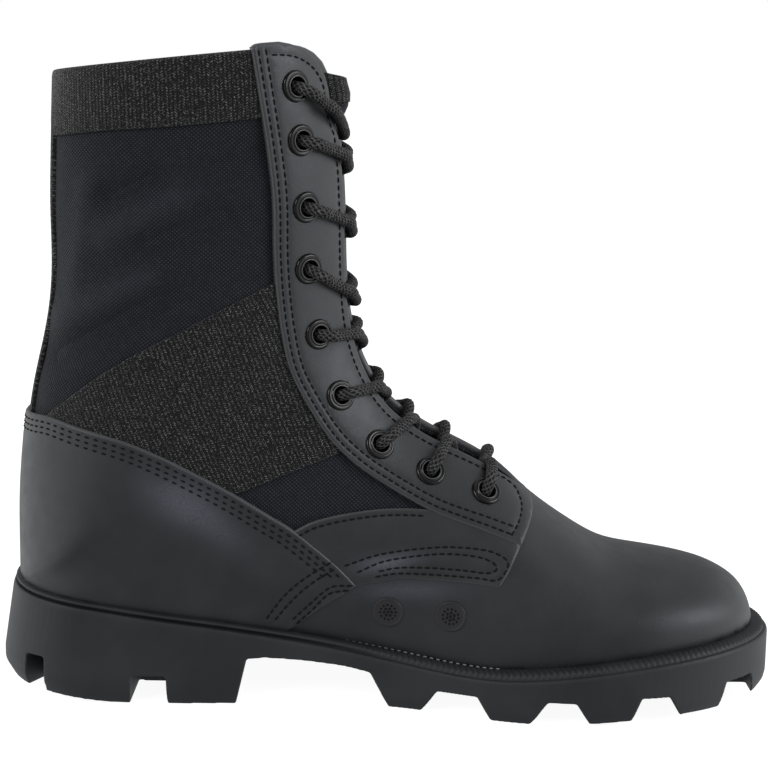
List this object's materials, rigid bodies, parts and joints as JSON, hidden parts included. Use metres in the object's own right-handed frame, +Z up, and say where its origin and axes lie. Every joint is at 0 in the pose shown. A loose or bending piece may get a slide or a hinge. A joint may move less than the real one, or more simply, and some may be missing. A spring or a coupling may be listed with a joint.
{
  "type": "tactical boot",
  "caption": "Left ankle-high lace-up boot with a canvas shaft, leather foot, webbing trim and a deep-lugged rubber sole, standing empty.",
  "frame": {"origin": "on the floor under the middle of the boot's bounding box", "axes": "+X to the toe, +Y to the outer (left) side of the left boot, +Z up"},
  "size_m": [0.3056, 0.1052, 0.2506],
  "materials": {
    "rubber": "matte",
    "leather": "satin",
    "canvas": "matte",
    "webbing": "matte",
    "felt": "matte",
    "enamel": "gloss",
    "cord": "matte"
  },
  "bodies": {
    "root": {"ankle_strap_lateral": "webbing", "ankle_strap_medial": "webbing", "back_strap": "webbing", "collar_band": "webbing", "counter": "leather", "eyelet_lateral_1": "enamel", "eyelet_lateral_2": "enamel", "eyelet_lateral_3": "enamel", "eyelet_lateral_4": "enamel", "eyelet_lateral_5": "enamel", "eyelet_lateral_6": "enamel", "eyelet_lateral_7": "enamel", "eyelet_lateral_8": "enamel", "eyelet_lateral_9": "enamel", "eyelet_medial_1": "enamel", "eyelet_medial_2": "enamel", "eyelet_medial_3": "enamel", "eyelet_medial_4": "enamel", "eyelet_medial_5": "enamel", "eyelet_medial_6": "enamel", "eyelet_medial_7": "enamel", "eyelet_medial_8": "enamel", "eyelet_medial_9": "enamel", "eyestay_lateral": "leather", "eyestay_medial": "leather", "insole": "felt", "lace_bar": "cord", "lace_cross_1": "cord", "lace_cross_2": "cord", "lace_cross_3": "cord", "lace_cross_4": "cord", "lace_cross_5": "cord", "lace_cross_6": "cord", "lace_cross_7": "cord", "lace_cross_8": "cord", "outsole": "rubber", "patch_lateral": "leather", "patch_medial": "leather", "tongue": "canvas", "upper": "canvas", "vamp": "leather", "vent_1": "enamel", "vent_2": "enamel", "welt": "rubber"}
  },
  "joints": []
}
